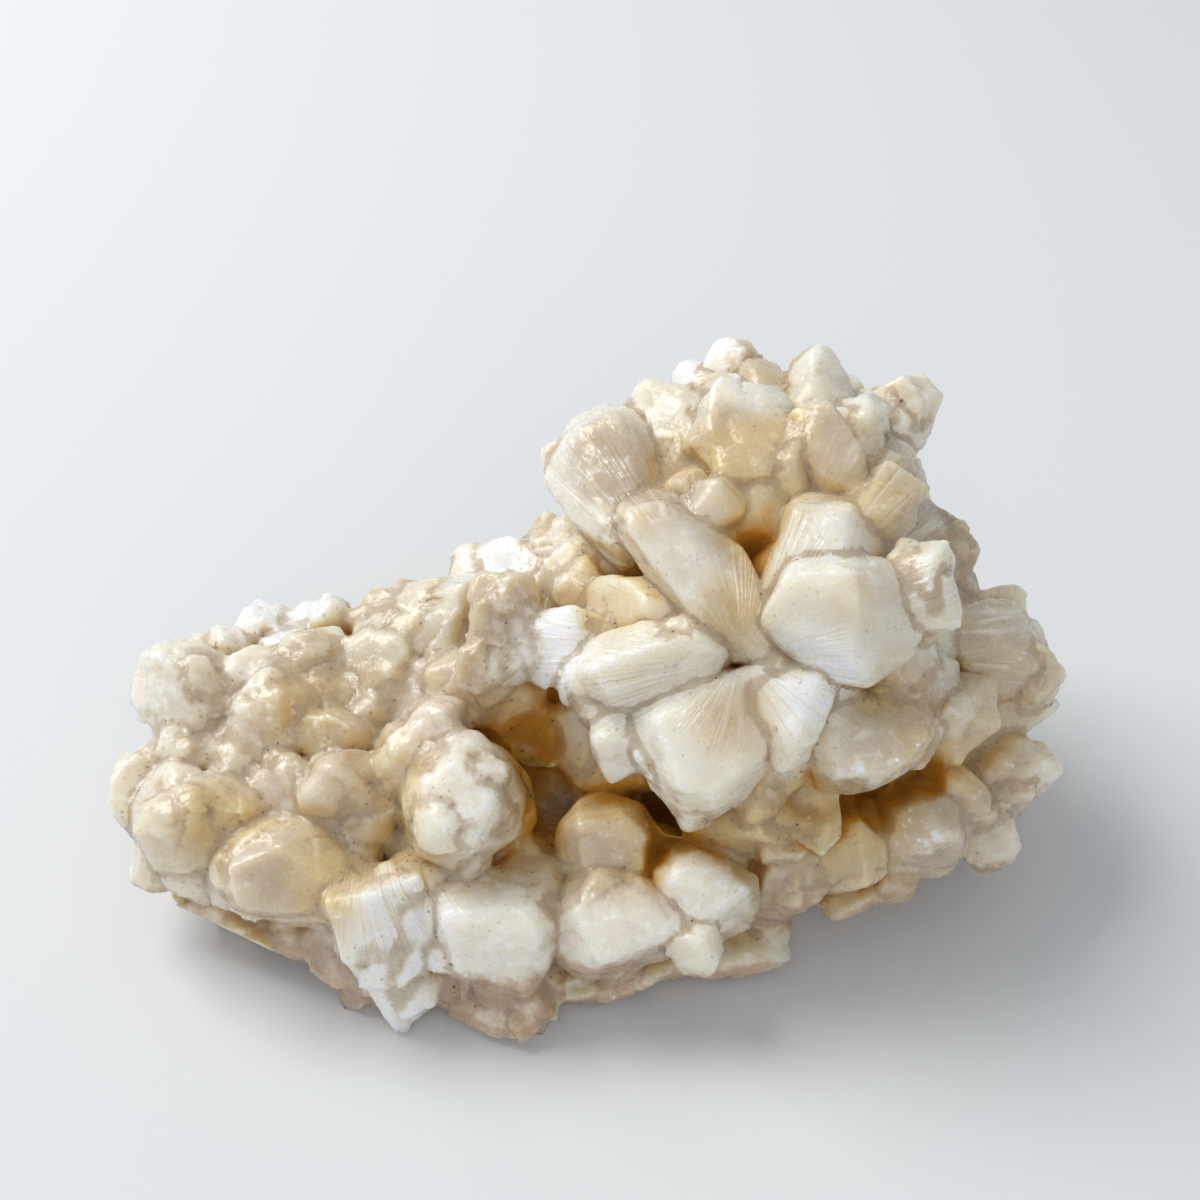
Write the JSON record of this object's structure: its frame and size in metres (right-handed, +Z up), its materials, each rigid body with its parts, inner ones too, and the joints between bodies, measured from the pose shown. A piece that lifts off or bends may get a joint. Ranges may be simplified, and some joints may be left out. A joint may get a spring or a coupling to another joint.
{
  "type": "stilbite crystal cluster",
  "caption": "Natural stilbite mineral cluster: a low druse rising to a tower of blunt, pearly cream crystals, lying on a broken crust.",
  "frame": {"origin": "on the surface that the cluster rests on, below the middle of its bounding box", "axes": "+X along its length, to the right when its display side is faced; -Y towards the display side; +Z up"},
  "size_m": [0.0648, 0.0414, 0.0322],
  "materials": {
    "stilbite": "waxy to pearly, translucent, frosted at the crystal tips"
  },
  "bodies": {
    "root": {"stilbite_cluster": "stilbite"}
  },
  "joints": []
}
